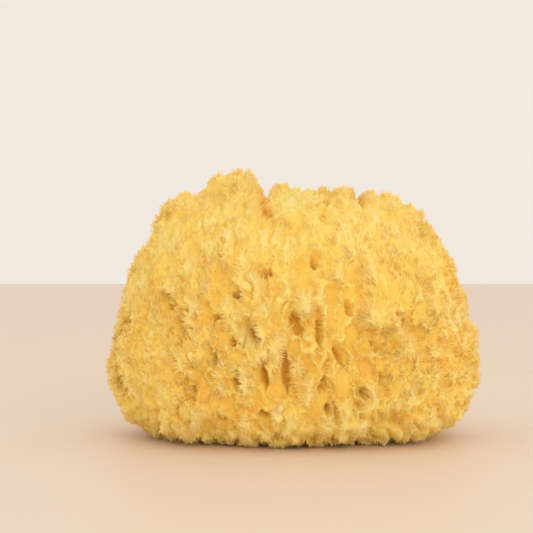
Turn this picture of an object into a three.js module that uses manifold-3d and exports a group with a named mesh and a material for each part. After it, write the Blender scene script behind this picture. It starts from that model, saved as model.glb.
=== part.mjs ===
// A natural bath sponge, grown as one piece: a broad dome that narrows towards a nearly flat
// crown and is trimmed flat underneath, where it was cut from its rock. Short tufts stand all
// over it with a pit between each three, clefts part the crown into lobes, and deeper pores
// run from the skin towards the heart.
//
// Millimetres, +Z up. X is the long way and -Y is the front. The origin is on the surface that
// the sponge stands on, under the middle of its bounding box.
import * as THREE from "three";
import { ConvexGeometry } from "three/addons/geometries/ConvexGeometry.js";
import { mergeVertices } from "three/addons/utils/BufferGeometryUtils.js";
import Module from "manifold-3d";

const wasm = await Module();
wasm.setup();

// Outer form, measured over the tips of the tufts
const HALF_WIDTH = 70.5;
const HALF_DEPTH = 55;
const BELLY_HEIGHT = 23; // where the sponge is widest
const CROWN_HEIGHT = 91;
const KEEL_HEIGHT = -7.5; // where the round underside would close, had it not been cut
const PLAN_ROUNDNESS = 2.3; // exponent of the outline seen from above: 2 is an ellipse
const UNDERSIDE_ROUNDNESS = 2.6;
const WIDTHWAYS = { taper: 0.36, squareness: 10 }; // the profile seen from the front
const DEPTHWAYS = { taper: 0.42, squareness: 4.5 }; // the profile seen from the side
const HEART = new THREE.Vector3(0, 0, 36); // the point that all growth runs out from

// Tufts and the pits between them
const TUFTS = 1000;
const TUFT_SHIFT = 0.35; // how far a tuft strays from even spacing, as a share of that spacing
const TUFT_DROP = 2.6; // how much lower than the outer form the shortest tufts end
const PIT_DEPTH = { least: 1.6, most: 6.4 };
const LUMP_HEIGHT = 1.3; // slow swellings of the whole skin
const LUMP_LENGTH = 21;
const LUMP_WAVES = [
  { share: 0.6, turns: [2.1, 2.4, 2.2], starts: [1.3, 0.4, 2.0] },
  { share: 0.4, turns: [4.3, 4.1, 3.9], starts: [-0.7, 2.1, 1.1] },
];

// Lobes of the crown: where each stands, how far it rises and how wide it is
const LOBES = [
  { x: -20.5, y: -2, rise: 10.5, spread: 7.4 },
  { x: -44, y: -2, rise: 3.5, spread: 7.5 },
  { x: -4.5, y: -3, rise: 4.5, spread: 4.5 },
  { x: 7.5, y: -1, rise: 4, spread: 5 },
  { x: 19, y: -2, rise: 3, spread: 4.5 },
  { x: 38, y: 0, rise: 1.5, spread: 10.5 },
  { x: -22, y: 22, rise: 4, spread: 8 },
  { x: 15, y: 22, rise: 3, spread: 8 },
];
const LOBE_FLATNESS = 3; // 1 makes them bells, and more makes them flat with steep sides
const LOBES_START = 0.7; // shares of the crown's height between which the lobes set in
const LOBES_FULL = 0.93;

// Clefts between the lobes. Length and width are at the height of the crown, and turn 0 runs
// from front to back. The first two cross the whole crown.
const CLEFTS = [
  { x: -11, y: 0, length: 60, width: 4.2, depth: 6, turn: 0 },
  { x: 24.5, y: 0, length: 60, width: 3.5, depth: 5, turn: 0 },
  { x: 1, y: 4, length: 14, width: 4, depth: 9, turn: 10 },
  { x: -37, y: 2, length: 15, width: 4.5, depth: 6, turn: -8 },
  { x: -26, y: 15, length: 12, width: 4, depth: 9, turn: 74 },
  { x: 10, y: 12, length: 13, width: 4.5, depth: 9, turn: 100 },
];
const CLEFT_SIDES = 10;
const CLEFT_FLOOR = 0.12; // length and width of a cleft's floor as a share of its mouth
const CLEFT_STANDOFF = 12; // how far a cleft's cutter stands out above the crown

// Pores of the front. Lean turns a pore's long way clockwise from upright, seen from outside.
const FRONT_PORES = [
  { x: 16, z: 32, width: 4, height: 10, lean: 28 },
  { x: 0, z: 44, width: 5.5, height: 13, lean: 18 },
  { x: 9, z: 41, width: 3.5, height: 15, lean: 0 },
  { x: -4, z: 25, width: 4.5, height: 20, lean: 4 },
  { x: -12, z: 24, width: 4.5, height: 12, lean: 5 },
  { x: -22, z: 22, width: 3.5, height: 6.5, lean: 0 },
  { x: -30, z: 31, width: 3.5, height: 7, lean: -12 },
  { x: -24, z: 37, width: 4, height: 6, lean: 0 },
  { x: -16, z: 41, width: 3.5, height: 6, lean: 8 },
  { x: 10, z: 21, width: 3.5, height: 10, lean: -18 },
  { x: 12, z: 12, width: 3.5, height: 7, lean: 0 },
  { x: -12, z: 10, width: 6.5, height: 5, lean: 0 },
  { x: 32, z: 23, width: 4, height: 7, lean: 0 },
  { x: 25, z: 18, width: 4, height: 7, lean: 14 },
  { x: 30, z: 35, width: 4, height: 8, lean: 35 },
  { x: 20, z: 50, width: 3, height: 9, lean: 4 },
  { x: -12, z: 63, width: 8, height: 4, lean: 20 },
  { x: -22, z: 55, width: 7, height: 3.5, lean: 0 },
  { x: -31, z: 46, width: 8, height: 3.5, lean: 25 },
  { x: 7, z: 67, width: 3.5, height: 9, lean: 0 },
  { x: 39, z: 65, width: 4.5, height: 4, lean: 0 },
  { x: 40, z: 43, width: 6, height: 3.5, lean: -35 },
  { x: -38, z: 19, width: 3, height: 4.5, lean: 0 },
  { x: -28, z: 8, width: 5, height: 4, lean: 0 },
  { x: -48, z: 50, width: 6, height: 3, lean: 0 },
];
const FRONT_PORE_DEPTH = 15;

// Pores of the sides, the back, the crown and the underside
const MORE_PORES = 42;
const MORE_PORE_WIDTH = { least: 2.8, most: 4.6 };
const MORE_PORE_HEIGHT = { least: 4, most: 12 };
const MORE_PORE_DEPTH = { least: 13, most: 19 };
const MOST_LEAN = 30;
const FRONT_SHARE = 0.3; // how far a direction leans to the front to count as the front
const CROWN_SHARE = 0.75;
const MIDDLE_OF_BASE = 0.96; // left whole, so that the sponge has a face to rest on

const PORE_SIDES = 6;
const PORE_TAPER = 0.55; // width of a pore's floor as a share of its mouth
const MOUTH_STANDOFF = 4; // how far a pore's cutter stands out past the skin
const GOLDEN_ANGLE = Math.PI * (3 - Math.sqrt(5));
const MERGE_WITHIN = 1e-4;
const HALVINGS = 24; // enough to find the skin along a ray to a thousandth of a millimetre
const STRAIGHT_UP = 0.05; // below this, a direction has no sideways of its own
const GOLDEN_YELLOW = 0xf0be5a;

/** An even-looking number from 0 to 1, always the same for the same whole numbers. */
function scatter(index, salt) {
  const raw = Math.sin(index * 127.1 + salt * 311.7) * 43758.5453;
  return raw - Math.floor(raw);
}

function between({ least, most }, share) {
  return least + (most - least) * share;
}

/** Half the width of the outer form at a height, for one of its two profiles. */
function halfSpan(height, half, { taper, squareness }) {
  if (height < BELLY_HEIGHT) {
    const down = (BELLY_HEIGHT - height) / (BELLY_HEIGHT - KEEL_HEIGHT);
    const left = 1 - down ** UNDERSIDE_ROUNDNESS;
    return half * Math.max(left, 0) ** (1 / UNDERSIDE_ROUNDNESS);
  }
  const up = (height - BELLY_HEIGHT) / (CROWN_HEIGHT - BELLY_HEIGHT);
  const left = Math.max(1 - up ** squareness, 0) ** (1 / squareness);
  return half * (1 - taper * up * up) * left;
}

function isInside(point) {
  if (point.z <= KEEL_HEIGHT || point.z >= CROWN_HEIGHT) return false;
  const across = Math.abs(point.x) / halfSpan(point.z, HALF_WIDTH, WIDTHWAYS);
  const along = Math.abs(point.y) / halfSpan(point.z, HALF_DEPTH, DEPTHWAYS);
  return across ** PLAN_ROUNDNESS + along ** PLAN_ROUNDNESS < 1;
}

/** Where a ray from the heart leaves the smooth outer form. */
function smoothSkin(direction) {
  let near = 0;
  let far = HALF_WIDTH + HALF_DEPTH;
  for (let step = 0; step < HALVINGS; step++) {
    const middle = (near + far) / 2;
    const point = HEART.clone().addScaledVector(direction, middle);
    if (isInside(point)) near = middle;
    else far = middle;
  }
  return HEART.clone().addScaledVector(direction, near);
}

/** Slow swellings, from -1 to 1. */
function lump(point) {
  const places = point.toArray().map((place) => place / LUMP_LENGTH);
  let height = 0;
  for (const { share, turns, starts } of LUMP_WAVES) {
    const waves = places.map((place, axis) => Math.sin(turns[axis] * place + starts[axis]));
    height += share * waves[0] * waves[1] * waves[2];
  }
  return height;
}

/** How far the lobes of the crown lift a point of the smooth skin. */
function lobeRise(point) {
  const share = point.z / CROWN_HEIGHT;
  const onCrown = THREE.MathUtils.smoothstep(share, LOBES_START, LOBES_FULL);
  let rise = 0;
  for (const lobe of LOBES) {
    const away = ((point.x - lobe.x) ** 2 + (point.y - lobe.y) ** 2) / (2 * lobe.spread ** 2);
    rise = Math.max(rise, lobe.rise * Math.exp(-(away ** LOBE_FLATNESS)));
  }
  return rise * onCrown;
}

/** The real skin along a direction, drop millimetres below its tuft line. */
function skinPoint(direction, drop) {
  const point = smoothSkin(direction);
  const rise = lobeRise(point) + LUMP_HEIGHT * (lump(point) - 1);
  return point.addScaledVector(direction, rise - drop);
}

/** Directions spread over the form by a golden spiral, denser where it curves most. */
function spiralDirection(index, count, stray) {
  const spacing = Math.sqrt((4 * Math.PI) / count);
  const shift = stray * spacing;
  const height = 1 - (2 * (index + 0.5)) / count;
  const ring = Math.sqrt(1 - height * height);
  const turn = index * GOLDEN_ANGLE;
  const reach = height > 0 ? CROWN_HEIGHT - HEART.z : HEART.z;
  return new THREE.Vector3(
    HALF_WIDTH * (ring * Math.cos(turn) + shift * (scatter(index, 1) - 0.5) * 2),
    HALF_DEPTH * (ring * Math.sin(turn) + shift * (scatter(index, 2) - 0.5) * 2),
    reach * (height + shift * (scatter(index, 3) - 0.5) * 2),
  ).normalize();
}

/** The closed skin: a peak at each tuft, and a pit inside each triangle of three tufts. */
function tuftedSkin() {
  const tufts = [];
  for (let i = 0; i < TUFTS; i++) tufts.push(spiralDirection(i, TUFTS, TUFT_SHIFT));
  const web = mergeVertices(bare(new ConvexGeometry(tufts)), MERGE_WITHIN);

  const directions = [];
  const peaks = web.attributes.position;
  for (let i = 0; i < peaks.count; i++) {
    directions.push(new THREE.Vector3().fromBufferAttribute(peaks, i).normalize());
  }
  const points = directions.map((direction, i) => skinPoint(direction, TUFT_DROP * scatter(i, 4)));

  const faces = [];
  for (let i = 0; i < web.index.count; i += 3) {
    const corners = [0, 1, 2].map((k) => web.index.getX(i + k));
    const middle = new THREE.Vector3();
    for (const corner of corners) middle.add(directions[corner]);
    const pit = points.length;
    points.push(skinPoint(middle.normalize(), between(PIT_DEPTH, scatter(i, 5))));
    for (let k = 0; k < 3; k++) faces.push(corners[k], corners[(k + 1) % 3], pit);
  }
  const skin = new THREE.BufferGeometry().setFromPoints(points);
  return skin.setIndex(faces);
}

/** A tapering cutter, its mouth at +Y, that is 1 wide, 1 high and 1 long. */
function poreCutter() {
  const cutter = new THREE.CylinderGeometry(0.5, 0.5 * PORE_TAPER, 1, PORE_SIDES);
  return cutter.translate(0, -0.5, 0);
}

/** A pore cut towards the heart from the skin along a direction. */
function poreAlong(direction, { width, height, depth, lean }) {
  const mouth = skinPoint(direction, -MOUTH_STANDOFF);
  const sideways = new THREE.Vector3().crossVectors(direction, new THREE.Vector3(0, 0, 1));
  if (sideways.length() < STRAIGHT_UP) sideways.set(1, 0, 0);
  sideways.normalize();
  const upwards = new THREE.Vector3().crossVectors(sideways, direction).normalize();
  const turn = THREE.MathUtils.degToRad(lean);
  const narrow = sideways.clone().applyAxisAngle(direction, turn);
  const long = upwards.clone().applyAxisAngle(direction, turn);
  const place = new THREE.Matrix4().makeBasis(
    narrow.multiplyScalar(width),
    direction.clone().multiplyScalar(depth + MOUTH_STANDOFF),
    long.multiplyScalar(height),
  );
  return poreCutter().applyMatrix4(place.setPosition(mouth));
}

/** Direction from the heart to the front skin at a given place. */
function frontDirection({ x, z }) {
  const across = Math.abs(x) / halfSpan(z, HALF_WIDTH, WIDTHWAYS);
  const left = (1 - across ** PLAN_ROUNDNESS) ** (1 / PLAN_ROUNDNESS);
  const y = -halfSpan(z, HALF_DEPTH, DEPTHWAYS) * left;
  return new THREE.Vector3(x, y, z).sub(HEART).normalize();
}

function frontPores() {
  return FRONT_PORES.map((pore) =>
    poreAlong(frontDirection(pore), { ...pore, depth: FRONT_PORE_DEPTH }),
  );
}

function otherPores() {
  const pores = [];
  for (let i = 0; i < MORE_PORES; i++) {
    const direction = spiralDirection(i, MORE_PORES, TUFT_SHIFT);
    const onFront = -direction.y > FRONT_SHARE && direction.z < CROWN_SHARE;
    if (onFront || -direction.z > MIDDLE_OF_BASE) continue;
    const pore = {
      width: between(MORE_PORE_WIDTH, scatter(i, 6)),
      height: between(MORE_PORE_HEIGHT, scatter(i, 7)),
      depth: between(MORE_PORE_DEPTH, scatter(i, 8)),
      lean: MOST_LEAN * (2 * scatter(i, 9) - 1),
    };
    pores.push(poreAlong(direction, pore));
  }
  return pores;
}

/** A cutter that narrows downwards, for a cleft in the crown. */
function cleft({ x, y, length, width, depth, turn }) {
  const height = depth + CLEFT_STANDOFF;
  const growth = height / depth; // from the crown's height up to the mouth
  const wedge = new THREE.CylinderGeometry(0.5, 0.5 * CLEFT_FLOOR, 1, CLEFT_SIDES);
  wedge.translate(0, -0.5, 0);
  wedge.rotateX(Math.PI / 2);
  wedge.scale(width * growth, length * growth, height);
  wedge.rotateZ(THREE.MathUtils.degToRad(turn));
  return wedge.translate(x, y, CROWN_HEIGHT + CLEFT_STANDOFF);
}

/** The block under the sponge, which trims it flat. */
function rock() {
  const reach = 4 * HALF_WIDTH;
  const block = new THREE.BoxGeometry(reach, reach, reach);
  return block.translate(0, 0, -reach / 2);
}

/** A geometry with nothing but its positions. */
function bare(geometry) {
  geometry.deleteAttribute("normal");
  geometry.deleteAttribute("uv");
  return geometry;
}

function toSolid(geometry) {
  const merged = mergeVertices(bare(geometry), MERGE_WITHIN);
  return new wasm.Manifold(
    new wasm.Mesh({
      numProp: 3,
      vertProperties: merged.attributes.position.array,
      triVerts: new Uint32Array(merged.index.array),
    }),
  );
}

function toGeometry(solid) {
  const { vertProperties, triVerts } = solid.getMesh();
  const geometry = new THREE.BufferGeometry();
  geometry.setAttribute("position", new THREE.BufferAttribute(vertProperties, 3));
  geometry.setIndex(new THREE.BufferAttribute(triVerts, 1));
  return geometry;
}

/** The piece that is left once crumbs cut loose by a pore are dropped. */
function largestPiece(solid) {
  return solid.decompose().reduce((most, piece) => (piece.volume() > most.volume() ? piece : most));
}

function sponge() {
  const cutters = [...frontPores(), ...otherPores(), ...CLEFTS.map(cleft), rock()];
  let solid = toSolid(tuftedSkin());
  for (const cutter of cutters) solid = solid.subtract(toSolid(cutter));
  const geometry = toGeometry(largestPiece(solid));

  geometry.computeBoundingBox();
  const middle = geometry.boundingBox.getCenter(new THREE.Vector3());
  geometry.translate(-middle.x, -middle.y, -geometry.boundingBox.min.z);

  const shaded = geometry.toNonIndexed();
  shaded.computeVertexNormals();
  const material = new THREE.MeshStandardMaterial({
    color: GOLDEN_YELLOW,
    roughness: 0.95,
    metalness: 0,
  });
  const mesh = new THREE.Mesh(shaded, material);
  mesh.name = "sponge";
  return mesh;
}

const part = new THREE.Group();
part.add(sponge());

export default part;
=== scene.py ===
"""Dresses the sea sponge: a finely tufted body over its solid, and the fibres that stand on it.

Shapes are worked out in millimetres in the row frame, +Z up and -Y to the front. The body is
a web of directions around the sponge's heart. Its outer form is how far the solid reaches
along them, and all relief is a drop under that form.
"""

import math
from dataclasses import dataclass

import bmesh
import bpy
import numpy as np
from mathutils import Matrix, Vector
from mathutils.bvhtree import BVHTree


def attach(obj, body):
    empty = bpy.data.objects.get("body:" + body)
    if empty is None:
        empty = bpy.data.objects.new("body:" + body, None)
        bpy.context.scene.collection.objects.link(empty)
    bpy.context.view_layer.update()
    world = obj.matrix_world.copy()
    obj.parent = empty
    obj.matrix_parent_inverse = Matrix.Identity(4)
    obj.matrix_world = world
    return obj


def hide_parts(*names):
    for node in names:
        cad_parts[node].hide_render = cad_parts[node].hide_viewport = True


MM = 0.001
HEART = np.array([0.0, 0.0, 36.0])  # the point that all growth runs out from
HALF_SIZE = np.array([68.0, 53.0])  # of the sponge, across and from front to back
REACH_UP, REACH_DOWN = 56.0, 36.0  # from the heart
UPRIGHT = 0.8  # share of its length that a line climbs, from which it counts as upright

# Web of directions that the body's skin is made from
WEB_POINTS = 6100
WEB_HALVINGS = 2
GOLDEN_ANGLE = math.pi * (3 - math.sqrt(5))

# Outer form taken from the solid
CLOSING_ROUNDS = 4  # closes pits of the solid up to about 5 mm wide
SMOOTHING_ROUNDS = 4
TIP_RISE = 1.5  # from the smoothed form to the tips of the solid's tufts
FRINGE = 1.0  # room left over the body for its fibres
PORE_FROM, PORE_FULL = 9.0, 12.0  # drop of the solid at which it counts as a pore
PORE_DEPTH = 9.0  # the deepest that a pore is open
LEAST_FALL = 1e-6  # keeps level directions from dividing by zero

# Tufts and the channels between them
TUFT = 5.5  # spacing of the tufts
FLATTEN = np.array([1.0, 0.7, 0.5])  # squeezes their scatter, so that they come out tall
WARP, WARP_LENGTH = 2.0, 4.0  # how far their edges wander, and over what length
FRILL, FRILL_LENGTH = 0.6, 1.5  # the same for the frills of the edges
DOME = 2.1  # how round the tufts are
CHANNEL_DEPTH = 1.8
CHANNEL_SHARE = 0.4  # width of a channel, as a share of the spacing
PARTED_LENGTH = 13.0  # size of the patches in which the channels are deep or shallow
PARTED_EDGE = 0.4  # strength of the noise at which a patch is wholly the one or the other
PARTED_LEAST = 0.5  # share of its depth that a channel keeps where it is shallow
TUFTLET = 2.8  # spacing of the small knobs that a tuft is made of
TUFTLET_DOME = 0.5
GROOVE_DEPTH = 0.8
GROOVE_SHARE = 0.35
GROOVE_SWING, GROOVE_LENGTH = 0.4, 6.0  # how much the grooves' depth varies, over what length
GRAIN_HEIGHT, GRAIN_LENGTH = 0.2, 1.8

# Around the crown the tufts are calm, which means taller and shallower
CALM_FROM, CALM_FULL = 55.0, 72.0  # heights between which they become so
CALM_STRETCH = 0.65  # share of the height that their scatter skips
CALM_SHARE = 0.15  # how much shallower they are

# Bare hollows where tufts are missing, most of them around pores
HOLLOW_DEPTH = 4.2
HOLLOW_SHARE = 0.2  # width of a hollow's wall, as a share of the spacing
HOLLOW_SMOOTHNESS = 0.6  # how much of the finer relief a hollow loses
MISSING = 0.4  # share of the tufts that are missing low on the front
MISSING_ELSEWHERE = 0.2  # share of those that are missing in other places
MISSING_EDGE = 0.05  # softens the choice between missing and not
FRONT_FROM, FRONT_FULL = 10.0, 45.0  # where the front begins, measured forwards
SIDES_FROM, SIDES_FULL = 25.0, 60.0  # and where the sides do, measured across
HIGH_FROM, HIGH_FULL = 45.0, 80.0  # heights between which the low part ends
PORE_ROUNDS = 2  # how far the ground around a pore reaches to all sides
TALL_ROUNDS = 4  # and how much further up and down
SOFTENING_ROUNDS = 4

# Clefts across the crown: place, half width and depth
CLEFTS = [(-11.0, 4.5, 7.0), (24.5, 3.5, 6.0)]
CLEFT_LOW, CLEFT_HIGH = 78.0, 88.0  # heights between which they open
CLEFT_WANDER, CLEFT_LENGTH = 1.5, 12.0  # how far they wander, and over what length
CLEFT_FADE = 0.7  # how much shallower they are at their ends
FADE_FROM, FADE_FULL = 6.0, 22.0  # how far from the middle that begins and is full
FADE_WANDER, FADE_LENGTH = 4.0, 9.0  # how uneven that is, and over what length

# Where fibres stand
FIBRES = 48750  # keeps their piece under 200,000 triangles
BARE_FROM, BARE_AT = 3.5, 5.0  # drops between which they thin out to none below the crown
RIM_FROM, RIM_FULL = 0.0, 0.3  # bulges between which they come to stand close together
SLOPE_FROM, SLOPE_FULL = 0.01, 0.1  # they also keep off ground that faces straight outward
CALM_THINNING = 0.3  # how much more thinly they stand on calm tufts, apart from the very top
LEVEL_FROM, LEVEL_FULL = 0.8, 0.95  # how upward the way outward is at the very top
GROWTH_ROUNDS = 7  # smooths the growth of neighbouring fibres
BULGE_ROUNDS = 12  # how far the ground reaches that a bulge stands out from
OFF_FLOOR = 0.3  # height from which they stand on the skin

# The fibres' size and lean
SEED = 11
FIBRE_LENGTH = (1.1, 2.7)
FIBRE_WIDTH = (0.45, 0.75)
LOW_LENGTH = 0.55  # share of its length that a fibre keeps next to the floor
LOW_FROM, LOW_UP_TO = 6.0, 30.0
OUTWARD, SIDEWAYS, STRAY = 0.6, 0.8, 0.08  # shares of the lean
LEAST_SIDEWAYS = 0.2  # fibres whose growth turns aside by less than this lean aside less
UPWARD = 0.8  # added to the lean around the crown
COMBED_FROM, COMBED_FULL = 30.0, 60.0  # heights between which that begins
ROOTED = 0.7  # depth of a fibre's root under the skin, as a share of its width
LEAST_HEIGHT = 0.02  # keeps the fibres above the floor

# Colours by share of the full depth under the tips, from the palest to the deepest: the palest
# is the sponge's own colour, and the deeper, more orange ones are painted shade in hollows and
# at fibre roots
COLOURS_WITH_PAINTED_SHADE = [
    (0.0, (0.96, 0.78, 0.33, 1)),
    (0.15, (0.96, 0.75, 0.26, 1)),
    (0.35, (0.97, 0.71, 0.18, 1)),
    (0.6, (0.96, 0.62, 0.12, 1)),
    (1.0, (0.95, 0.58, 0.10, 1)),
]
FULL_DEPTH = 11.0  # depth at which the painted shade is deepest
ROOT_PAINTED_SHADE = 0.8  # painted shade at a fibre's root: how much deeper it is coloured than the skin around it
BODY_PAINTED_SHADE = 0.5  # painted shade over the whole skin: how much deeper than it lies it is coloured
TINT = 0.16  # how far a tint of 1 shifts the colour
TINT_LENGTH, FINE_TINT_LENGTH = 11.0, 3.0
FINE_TINT = 0.4  # share of the body's tint that the finer noise has
FIBRE_TINT, FIBRE_SPREAD = 0.5, 0.2  # what fibres share with their neighbours, and what not

# Surface of the material, with its lengths in metres
ROUGHNESS = 0.9
SPECULAR = 0.15
GLOW_COLOUR, GLOW_REACH = (1.0, 0.85, 0.6), 0.0015
SHEEN_ROUGHNESS, SHEEN_COLOUR = 0.5, (1.0, 0.72, 0.25, 1)
BODY_GLOW, BODY_SHEEN = 0.8, 0.2
FIBRE_GLOW, FIBRE_SHEEN = 0.0, 0.7
BUMP_SCALE, BUMP_DETAIL = 240, 3
BUMP_STRENGTH, BUMP_HEIGHT = 0.8, 0.0006
UV_REACH = 0.49  # of the body from the middle of the unit square
UV_MARGIN, UV_TINT_SPAN = 0.02, 0.45  # of the fibres in it

# Salts, which give each noise and each scatter a look of its own
WARP_SALTS = (1, 2, 3)
GROOVE_SALT = 6
GRAIN_SALT = 7
PARTED_SALT = 8
TUFT_SALT = 10
TUFTLET_SALT = 20
TINT_SALT, FINE_TINT_SALT = 31, 32
FRILL_SALTS = (51, 52, 53)
CLEFT_SALT, FADE_SALT = 60, 61

# Shifts and large odd numbers that mix the bits of whole numbers well
AXIS_FACTORS = (73856093, 19349663, 83492791)
SALT_FACTOR = 2654435761
MIXING_STEPS = ((16, 2246822519), (13, 3266489917))
LAST_SHIFT = 16

# Surroundings, with places and sizes in metres
FLOOR_REACH = 4.0
FLOOR_COLOUR, FLOOR_ROUGHNESS = (0.88, 0.73, 0.61, 1), 0.5
WORLD_COLOUR, WORLD_STRENGTH = (1.0, 0.93, 0.85, 1), 0.88
KEY_PLACE, KEY_AIM = (0.3, -1.1, 0.3), (0, 0, 0.05)
KEY_SIZE, KEY_POWER, KEY_COLOUR = 0.9, 4.8, (1.0, 0.97, 0.93)
CAMERA_PLACE = (-0.0097, -0.4656, 0.0623)
CAMERA_LENS, CAMERA_SENSOR = 84.7, 36  # millimetres


def hashed(cells, salt):
    """Even-looking numbers from 0 to 1, always the same for the same whole numbers."""
    key = cells.astype(np.int64).astype(np.uint32)
    mixed = np.full(key.shape[:-1], salt * SALT_FACTOR % 2**32, dtype=np.uint32)
    for axis, factor in enumerate(AXIS_FACTORS):
        mixed ^= key[..., axis] * np.uint32(factor)
    for shift, factor in MIXING_STEPS:
        mixed = (mixed ^ (mixed >> np.uint32(shift))) * np.uint32(factor)
    mixed ^= mixed >> np.uint32(LAST_SHIFT)
    return mixed / 2.0**32


def smoothstep(low, high, value):
    share = np.clip((value - low) / (high - low), 0, 1)
    return share * share * (3 - 2 * share)


def noise(points, length, salt):
    """Smooth noise from -1 to 1 with features about length millimetres long."""
    scaled = points / length
    base = np.floor(scaled)
    share = smoothstep(0, 1, scaled - base)
    total = np.zeros(len(points))
    for corner in np.ndindex(2, 2, 2):
        offset = np.array(corner)
        weight = np.prod(np.where(offset == 1, share, 1 - share), axis=1)
        total += weight * hashed(base + offset, salt)
    return 2 * total - 1


def cell_distances(points, spacing, salt):
    """Distances to the nearest and the next nearest of scattered points, and a number
    from 0 to 1 that belongs to the nearest.
    """
    scaled = points / spacing
    base = np.floor(scaled)
    nearest = np.full(len(points), np.inf)
    second = np.full(len(points), np.inf)
    lot = np.zeros(len(points))
    for step in np.ndindex(3, 3, 3):
        cell = base + np.array(step) - 1
        seeds = np.stack([hashed(cell, salt + k) for k in range(3)], axis=1)
        away = np.linalg.norm(cell + seeds - scaled, axis=1)
        lot = np.where(away < nearest, hashed(cell, salt + 3), lot)
        second = np.minimum(second, np.maximum(nearest, away))
        nearest = np.minimum(nearest, away)
    return nearest, second, lot


def unit(vectors):
    return vectors / np.linalg.norm(vectors, axis=1, keepdims=True)


def spiral_directions():
    """Directions spread evenly over an ellipsoid of the sponge's size."""
    index = np.arange(WEB_POINTS)
    height = 1 - (2 * index + 1) / WEB_POINTS
    ring = np.sqrt(1 - height**2)
    turn = index * GOLDEN_ANGLE
    across = ring * np.cos(turn) * HALF_SIZE[0]
    along = ring * np.sin(turn) * HALF_SIZE[1]
    upwards = height * np.where(height > 0, REACH_UP, REACH_DOWN)
    return unit(np.stack([across, along, upwards], axis=1))


def hull_faces(points):
    web = bmesh.new()
    for point in points.tolist():
        web.verts.new(point)
    bmesh.ops.convex_hull(web, input=web.verts, use_existing_faces=False)
    faces = np.array([[vertex.index for vertex in face.verts] for face in web.faces])
    web.free()
    return faces


def face_sides(faces):
    """The three sides of each triangle, as sorted pairs of points."""
    return np.sort(faces[:, [0, 1, 1, 2, 2, 0]].reshape(-1, 2), axis=1)


def halve(directions, faces):
    """Splits each triangle into four."""
    edges, which = np.unique(face_sides(faces), axis=0, return_inverse=True)
    middles = unit(directions[edges].sum(axis=1))
    ab, bc, ca = (which.reshape(-1, 3) + len(directions)).T
    a, b, c = faces.T
    quarters = [(a, ab, ca), (ab, b, bc), (ca, bc, c), (ab, bc, ca)]
    split = np.concatenate([np.stack(quarter, axis=1) for quarter in quarters])
    return np.concatenate([directions, middles]), split


def skin_web():
    directions = spiral_directions()
    faces = hull_faces(directions)
    for _ in range(WEB_HALVINGS):
        directions, faces = halve(directions, faces)
    return directions, faces


def solid_reach(solid, directions):
    """How far the CAD solid reaches from the heart along each direction."""
    mesh = solid.data
    corners = [vertex.co / MM for vertex in mesh.vertices]
    tree = BVHTree.FromPolygons(corners, [tuple(face.vertices) for face in mesh.polygons])
    heart = Vector(HEART)
    return np.array([tree.ray_cast(heart, Vector(d))[3] for d in directions.tolist()])


def neighbour_pairs(faces):
    edges = np.unique(face_sides(faces), axis=0)
    return np.concatenate([edges, edges[:, ::-1]]).T


def extreme(values, pairs, pick):
    """Each value replaced by the highest or lowest of itself and its neighbours."""
    result = values.copy()
    pick.at(result, pairs[0], values[pairs[1]])
    return result


def average(values, pairs):
    """Each value replaced by the mean of its neighbours."""
    count = np.bincount(pairs[0], minlength=len(values))
    return np.bincount(pairs[0], values[pairs[1]], minlength=len(values)) / count


def outer_reach(reach, pairs):
    """The solid's reach with its pits, pores and clefts filled in."""
    for _ in range(CLOSING_ROUNDS):
        reach = extreme(reach, pairs, np.maximum)
    for _ in range(CLOSING_ROUNDS):
        reach = extreme(reach, pairs, np.minimum)
    for _ in range(SMOOTHING_ROUNDS):
        reach = average(reach, pairs)
    return reach + TIP_RISE


def warped(points):
    warp = np.stack([noise(points, WARP_LENGTH, salt) for salt in WARP_SALTS], axis=1)
    frill = np.stack([noise(points, FRILL_LENGTH, salt) for salt in FRILL_SALTS], axis=1)
    return points + WARP * warp + FRILL * frill


def calm(points):
    """From 0 below to 1 around the crown, where the tufts are taller and shallower."""
    return smoothstep(CALM_FROM, CALM_FULL, points[:, 2])


def stretched(points):
    """Places that make every tuft taller than wide, and those around the crown taller still."""
    places = points * FLATTEN
    places[:, 2] -= CALM_STRETCH * FLATTEN[2] * np.maximum(points[:, 2] - CALM_FROM, 0)
    return places


def knob_drop(points, places):
    """How far the grooves and the roundness of the small knobs take the body down."""
    nearest, second, _ = cell_distances(places, TUFTLET, TUFTLET_SALT)
    edge = smoothstep(0, GROOVE_SHARE, second - nearest)
    swing = 1 - GROOVE_SWING + GROOVE_SWING * noise(points, GROOVE_LENGTH, GROOVE_SALT)
    return GROOVE_DEPTH * (1 - edge) * swing + TUFTLET_DOME * nearest


def tuft_drop(points, ground):
    """How far the body lies below the outer form on and between its tufts."""
    places = stretched(warped(points))
    nearest, second, lot = cell_distances(places, TUFT, TUFT_SALT)
    edge = smoothstep(0, CHANNEL_SHARE, second - nearest)
    patch = smoothstep(-PARTED_EDGE, PARTED_EDGE, noise(points, PARTED_LENGTH, PARTED_SALT))
    parted = PARTED_LEAST + (1 - PARTED_LEAST) * patch
    drop = CHANNEL_DEPTH * (1 - edge) * parted + DOME * nearest**2
    missing = smoothstep(-MISSING_EDGE, MISSING_EDGE, ground - lot)
    missing *= smoothstep(0, HOLLOW_SHARE, second - nearest)
    drop = drop * (1 - missing) + HOLLOW_DEPTH * missing
    drop += knob_drop(points, places) * (1 - HOLLOW_SMOOTHNESS * missing)
    drop = np.maximum(drop - GRAIN_HEIGHT * noise(points, GRAIN_LENGTH, GRAIN_SALT), 0)
    return drop * (1 - CALM_SHARE * calm(points))


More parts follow.
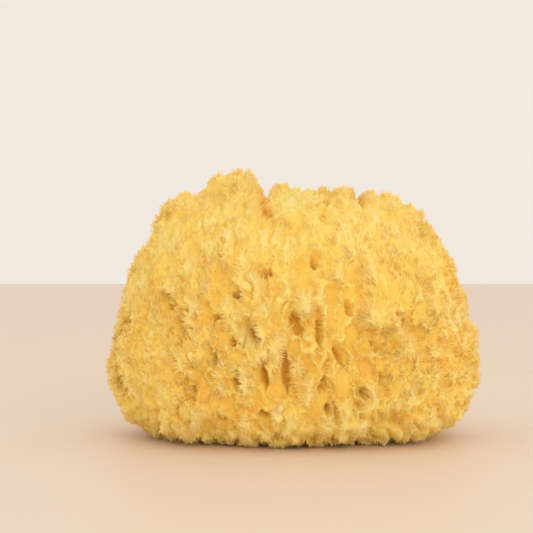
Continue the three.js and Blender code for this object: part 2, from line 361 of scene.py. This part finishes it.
def bare_ground(points, pore, directions, pairs):
    """The chance, from 0 to 1, that a tuft is missing: highest around the pores."""
    across = directions[pairs[1]] - directions[pairs[0]]
    upright = pairs[:, np.abs(across[:, 2]) > UPRIGHT * np.linalg.norm(across, axis=1)]
    for _ in range(PORE_ROUNDS):
        pore = extreme(pore, pairs, np.maximum)
    for _ in range(TALL_ROUNDS):
        pore = extreme(pore, upright, np.maximum)
    for _ in range(SOFTENING_ROUNDS):
        pore = average(pore, pairs)
    front = smoothstep(FRONT_FROM, FRONT_FULL, -points[:, 1])
    front *= 1 - smoothstep(SIDES_FROM, SIDES_FULL, np.abs(points[:, 0]))
    low = 1 - smoothstep(HIGH_FROM, HIGH_FULL, points[:, 2])
    share = MISSING_ELSEWHERE + (1 - MISSING_ELSEWHERE) * front * low
    return np.maximum(pore, MISSING * share)


def cleft_drop(points):
    """How deep the clefts are: deepest half way between front and back."""
    wander = CLEFT_WANDER * noise(points, CLEFT_LENGTH, CLEFT_SALT)
    places = warped(points)[:, 0] + wander
    drop = np.zeros(len(points))
    for place, half_width, depth in CLEFTS:
        share = 1 - smoothstep(0, half_width, np.abs(places - place))
        drop = np.maximum(drop, depth * share)
    away = np.abs(points[:, 1]) + FADE_WANDER * noise(points, FADE_LENGTH, FADE_SALT)
    fade = 1 - CLEFT_FADE * smoothstep(FADE_FROM, FADE_FULL, away)
    return drop * fade * smoothstep(CLEFT_LOW, CLEFT_HIGH, points[:, 2])


@dataclass
class Skin:
    """The body's surface: its triangles, and the rest for each of its points."""

    points: np.ndarray
    faces: np.ndarray
    drop: np.ndarray  # how far it lies under the outer form
    growth: np.ndarray  # the way the tufts grow, which the pores don't change
    bulge: np.ndarray  # how far it stands out from the ground around it

    def depth(self):
        """How deep it looks: its drop, less how far it stands out from the ground around it,
        which stands in for shade in hollows. Its colour follows this as painted shade.
        """
        return self.drop - self.bulge


def shaped_skin(directions, faces, reach):
    pairs = neighbour_pairs(faces)
    outer = outer_reach(reach, pairs)
    fall = outer - reach
    pore = smoothstep(PORE_FROM, PORE_FULL, fall)
    places = HEART + directions * outer[:, None]
    tufts = tuft_drop(places, bare_ground(places, pore, directions, pairs))
    tufts += cleft_drop(places)
    growth = smooth_normals(HEART + directions * (outer - tufts)[:, None], faces, pairs)
    around = tufts
    for _ in range(BULGE_ROUNDS):
        around = average(around, pairs)
    drop = np.maximum(tufts, pore * np.minimum(fall, PORE_DEPTH)) + FRINGE
    downwards = np.minimum(directions[:, 2], -LEAST_FALL)
    to_floor = np.where(directions[:, 2] < 0, -HEART[2] / downwards, np.inf)
    body_reach = np.minimum(outer - drop, to_floor)
    points = HEART + directions * body_reach[:, None]
    return Skin(points, faces, drop, growth, around - tufts)


def new_piece(name, points, faces, attributes, uvs, material, smooth):
    mesh = bpy.data.meshes.new(name)
    mesh.vertices.add(len(points))
    mesh.vertices.foreach_set("co", (points * MM).astype(np.float32).ravel())
    mesh.loops.add(faces.size)
    mesh.loops.foreach_set("vertex_index", faces.astype(np.int32).ravel())
    mesh.polygons.add(len(faces))
    mesh.polygons.foreach_set("loop_start", np.arange(0, faces.size, 3, dtype=np.int32))
    mesh.update(calc_edges=True)
    for key, values in attributes.items():
        layer = mesh.attributes.new(key, "FLOAT", "POINT")
        layer.data.foreach_set("value", values.astype(np.float32))
    layer = mesh.uv_layers.new(name="OFBake")
    layer.data.foreach_set("uv", uvs.astype(np.float32).ravel())
    mesh.polygons.foreach_set("use_smooth", np.full(len(faces), smooth))
    mesh.materials.append(material)
    piece = bpy.data.objects.new(name, mesh)
    bpy.context.scene.collection.objects.link(piece)
    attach(piece, "root")
    return piece


def octahedral_uvs(directions, faces):
    """A place in the unit square for each face corner, by its direction from the heart."""
    corners = directions[faces]
    flat = corners / np.abs(corners).sum(axis=2, keepdims=True)
    side = np.where(corners.mean(axis=1) < 0, -1.0, 1.0)[:, None, :2]
    folded = (1 - np.abs(flat[..., 1::-1])) * side
    below = corners.mean(axis=1)[:, None, 2:] < 0
    place = np.where(below, folded, flat[..., :2])
    return 0.5 + UV_REACH * place


def face_normals(points, faces):
    a, b, c = (points[faces[:, k]] for k in range(3))
    return np.cross(b - a, c - a)


def smooth_normals(points, faces, pairs):
    normals = np.zeros_like(points)
    for k in range(3):
        np.add.at(normals, faces[:, k], face_normals(points, faces))
    for _ in range(GROWTH_ROUNDS):
        normals = np.stack([average(normals[:, k], pairs) for k in range(3)], axis=1)
    return unit(normals)


def fibre_chance(skin):
    """How likely a fibre is to stand on each triangle: most of them keep to the rims."""
    area = np.linalg.norm(face_normals(skin.points, skin.faces), axis=1)
    outward = unit(skin.points - HEART)
    slope = 1 - (skin.growth * outward).sum(axis=1)
    rim = smoothstep(RIM_FROM, RIM_FULL, skin.bulge)
    rim *= smoothstep(SLOPE_FROM, SLOPE_FULL, slope)
    level = smoothstep(LEVEL_FROM, LEVEL_FULL, outward[:, 2])
    rim *= 1 - CALM_THINNING * calm(skin.points) * (1 - level)
    chance = area * rim[skin.faces].mean(axis=1)
    drop = skin.drop[skin.faces].mean(axis=1) - FRINGE
    below_crown = 1 - calm(skin.points[skin.faces[:, 0]])
    chance *= 1 - smoothstep(BARE_FROM, BARE_AT, drop) * below_crown
    return chance * (skin.points[skin.faces][:, :, 2].min(axis=1) > OFF_FLOOR)


def fibre_roots(random, skin):
    """Places on the body for fibres, the way into it, the way they grow, and the depth of their
    painted shade.
    """
    chance = fibre_chance(skin)
    picked = random.choice(len(skin.faces), FIBRES, p=chance / chance.sum())
    share = random.random((FIBRES, 2))
    share = np.where(share.sum(axis=1, keepdims=True) > 1, 1 - share, share)
    weights = np.stack([1 - share.sum(axis=1), share[:, 0], share[:, 1]], axis=1)
    corners = skin.faces[picked]
    place = (skin.points[corners] * weights[..., None]).sum(axis=1)
    growth = (skin.growth[corners] * weights[..., None]).sum(axis=1)
    depth = (skin.depth()[corners] * weights).sum(axis=1)
    inward = -unit(face_normals(skin.points, corners))
    return place, inward, unit(growth), depth


def fibre_lean(random, place, growth):
    """The way each fibre points: outward, off its tuft's middle, and up around the crown."""
    outward = unit(place - HEART)
    sideways = growth - outward * (growth * outward).sum(axis=1, keepdims=True)
    sideways /= np.maximum(np.linalg.norm(sideways, axis=1, keepdims=True), LEAST_SIDEWAYS)
    stray = random.normal(0, 1, (FIBRES, 3))
    along = OUTWARD * outward + SIDEWAYS * sideways + STRAY * stray
    along[:, 2] += UPWARD * smoothstep(COMBED_FROM, COMBED_FULL, place[:, 2])
    return unit(along)


def spikes(start, tip, width):
    """Closed three-sided spikes, as points and faces, each with its tip as its last point."""
    along = unit(tip - start)
    helper = np.where(np.abs(along[:, 2:]) < UPRIGHT, [[0.0, 0.0, 1.0]], [[1.0, 0.0, 0.0]])
    first = unit(np.cross(along, helper))
    second = np.cross(along, first)
    corners = []
    for turn in range(3):
        angle = 2 * math.pi * turn / 3
        out = first * math.cos(angle) + second * math.sin(angle)
        corners.append(start + out * (0.5 * width)[:, None])
    points = np.stack(corners + [tip], axis=1).reshape(-1, 3)
    pattern = np.array([(0, 2, 1), (0, 1, 3), (1, 2, 3), (2, 0, 3)])
    faces = (np.arange(len(start)) * 4)[:, None, None] + pattern[None]
    return points, faces.reshape(-1, 3)


def fibre_uvs(tints, painted_shade_depths, faces):
    """A place in the unit square for each face corner: across by tint, up by the depth of the
    painted shade.
    """
    across = 0.5 + UV_TINT_SPAN * tints
    upwards = UV_MARGIN + (1 - 2 * UV_MARGIN) * painted_shade_depths
    return np.stack([across, upwards], axis=1)[faces]


def add_fibres(random, skin):
    place, inward, growth, depth = fibre_roots(random, skin)
    along = fibre_lean(random, place, growth)
    length = random.uniform(*FIBRE_LENGTH, FIBRES)
    length *= LOW_LENGTH + (1 - LOW_LENGTH) * smoothstep(LOW_FROM, LOW_UP_TO, place[:, 2])
    width = random.uniform(*FIBRE_WIDTH, FIBRES)
    start = place + inward * (ROOTED * width)[:, None]
    points, faces = spikes(start, place + along * length[:, None], width)
    points[:, 2] = np.maximum(points[:, 2], LEAST_HEIGHT)

    tint = FIBRE_TINT * noise(place, TINT_LENGTH, TINT_SALT)
    tint += random.uniform(-FIBRE_SPREAD, FIBRE_SPREAD, FIBRES)
    tints = np.repeat(tint, 4)
    # Painted shade: a fibre's root is coloured deeper than the skin around it, and the colour
    # pales towards its tip
    painted_shade_depths = np.stack([depth + ROOT_PAINTED_SHADE] * 3 + [depth - length], axis=1).ravel()
    painted_shade_depths = np.clip(painted_shade_depths / FULL_DEPTH, 0, 1)
    attributes = {"depth": painted_shade_depths, "tint": tints}
    uvs = fibre_uvs(tints, painted_shade_depths, faces)
    material, _ = sponge_material("sponge fibres", FIBRE_GLOW, FIBRE_SHEEN)
    new_piece("teeth_0", points, faces, attributes, uvs, material, False)


def principled(name):
    material = bpy.data.materials.new(name)
    material.use_nodes = True
    return material, material.node_tree.nodes["Principled BSDF"]


def attribute_node(tree, name):
    node = tree.nodes.new("ShaderNodeAttribute")
    node.attribute_name = name
    return node


def add_colour_with_painted_shade(tree, shader):
    """Colours by depth as painted shade, deeper and more orange in hollows, shifted by the
    tint.
    """
    ramp = tree.nodes.new("ShaderNodeValToRGB")
    elements = ramp.color_ramp.elements
    while len(elements) < len(COLOURS_WITH_PAINTED_SHADE):
        elements.new(0.5)
    for element, (position, colour) in zip(elements, COLOURS_WITH_PAINTED_SHADE):
        element.position = position
        element.color = colour
    shift = tree.nodes.new("ShaderNodeMath")
    shift.operation = "MULTIPLY_ADD"
    shift.inputs[1].default_value = TINT
    tree.links.new(attribute_node(tree, "tint").outputs["Fac"], shift.inputs[0])
    tree.links.new(attribute_node(tree, "depth").outputs["Fac"], shift.inputs[2])
    tree.links.new(shift.outputs[0], ramp.inputs[0])
    tree.links.new(ramp.outputs["Color"], shader.inputs["Base Color"])


def add_grain(tree, shader):
    """The finest grain, as a bump."""
    coordinates = tree.nodes.new("ShaderNodeUVMap")
    coordinates.uv_map = "OFBake"
    texture = tree.nodes.new("ShaderNodeTexNoise")
    texture.inputs["Scale"].default_value = BUMP_SCALE
    texture.inputs["Detail"].default_value = BUMP_DETAIL
    bump = tree.nodes.new("ShaderNodeBump")
    bump.inputs["Strength"].default_value = BUMP_STRENGTH
    bump.inputs["Distance"].default_value = BUMP_HEIGHT
    tree.links.new(coordinates.outputs["UV"], texture.inputs["Vector"])
    tree.links.new(texture.outputs["Fac"], bump.inputs["Height"])
    tree.links.new(bump.outputs["Normal"], shader.inputs["Normal"])


def sponge_material(name, glow, sheen):
    material, shader = principled(name)
    add_colour_with_painted_shade(material.node_tree, shader)
    shader.inputs["Roughness"].default_value = ROUGHNESS
    shader.inputs["Specular IOR Level"].default_value = SPECULAR
    shader.inputs["Subsurface Weight"].default_value = glow
    shader.inputs["Subsurface Radius"].default_value = GLOW_COLOUR
    shader.inputs["Subsurface Scale"].default_value = GLOW_REACH
    shader.inputs["Sheen Weight"].default_value = sheen
    shader.inputs["Sheen Roughness"].default_value = SHEEN_ROUGHNESS
    shader.inputs["Sheen Tint"].default_value = SHEEN_COLOUR
    return material, shader


def add_body(skin, directions):
    tint = (1 - FINE_TINT) * noise(skin.points, TINT_LENGTH, TINT_SALT)
    tint += FINE_TINT * noise(skin.points, FINE_TINT_LENGTH, FINE_TINT_SALT)
    # Painted shade: the skin is coloured deeper and more orange where it lies deep or in a
    # hollow
    depth = np.clip((skin.depth() + BODY_PAINTED_SHADE) / FULL_DEPTH, 0, 1)
    attributes = {"depth": depth, "tint": tint}
    uvs = octahedral_uvs(directions, skin.faces)
    material, shader = sponge_material("sponge body", BODY_GLOW, BODY_SHEEN)
    add_grain(material.node_tree, shader)
    body = new_piece("sponge_body", skin.points, skin.faces, attributes, uvs, material, True)
    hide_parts("sponge")


def dress(solid):
    directions, faces = skin_web()
    skin = shaped_skin(directions, faces, solid_reach(solid, directions))
    add_body(skin, directions)
    add_fibres(np.random.default_rng(SEED), skin)


def add_floor():
    mesh = bpy.data.meshes.new("floor")
    signs = ((-1, -1), (1, -1), (1, 1), (-1, 1))
    corners = [(x * FLOOR_REACH, y * FLOOR_REACH, 0) for x, y in signs]
    mesh.from_pydata(corners, [], [(0, 1, 2, 3)])
    floor = bpy.data.objects.new("floor", mesh)
    material, shader = principled("pale floor")
    shader.inputs["Base Color"].default_value = FLOOR_COLOUR
    shader.inputs["Roughness"].default_value = FLOOR_ROUGHNESS
    mesh.materials.append(material)
    bpy.context.scene.collection.objects.link(floor)


def add_key_light():
    light = bpy.data.lights.new("key", "AREA")
    light.size = KEY_SIZE
    light.energy = KEY_POWER
    light.color = KEY_COLOUR
    lamp = bpy.data.objects.new("key", light)
    lamp.location = KEY_PLACE
    aim = Vector(KEY_AIM) - Vector(KEY_PLACE)
    lamp.rotation_euler = aim.to_track_quat("-Z", "Y").to_euler()
    bpy.context.scene.collection.objects.link(lamp)


def add_surroundings():
    world = bpy.data.worlds.new("studio")
    world.use_nodes = True
    background = world.node_tree.nodes["Background"]
    background.inputs["Color"].default_value = WORLD_COLOUR
    background.inputs["Strength"].default_value = WORLD_STRENGTH
    bpy.context.scene.world = world
    add_key_light()
    bpy.context.scene.view_settings.view_transform = "Standard"


def add_camera():
    camera = bpy.data.cameras.new("camera")
    camera.lens = CAMERA_LENS
    camera.sensor_width = CAMERA_SENSOR
    holder = bpy.data.objects.new("camera", camera)
    holder.location = CAMERA_PLACE
    holder.rotation_euler = (math.pi / 2, 0, 0)
    bpy.context.scene.collection.objects.link(holder)
    bpy.context.scene.camera = holder


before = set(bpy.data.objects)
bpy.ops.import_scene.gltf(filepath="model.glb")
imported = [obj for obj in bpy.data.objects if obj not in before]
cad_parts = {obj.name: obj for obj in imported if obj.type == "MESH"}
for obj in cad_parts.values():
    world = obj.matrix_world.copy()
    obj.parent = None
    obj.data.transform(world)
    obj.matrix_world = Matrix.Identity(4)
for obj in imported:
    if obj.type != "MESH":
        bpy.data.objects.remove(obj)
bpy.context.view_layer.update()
dress(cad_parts["sponge"])
add_floor()
add_surroundings()
add_camera()
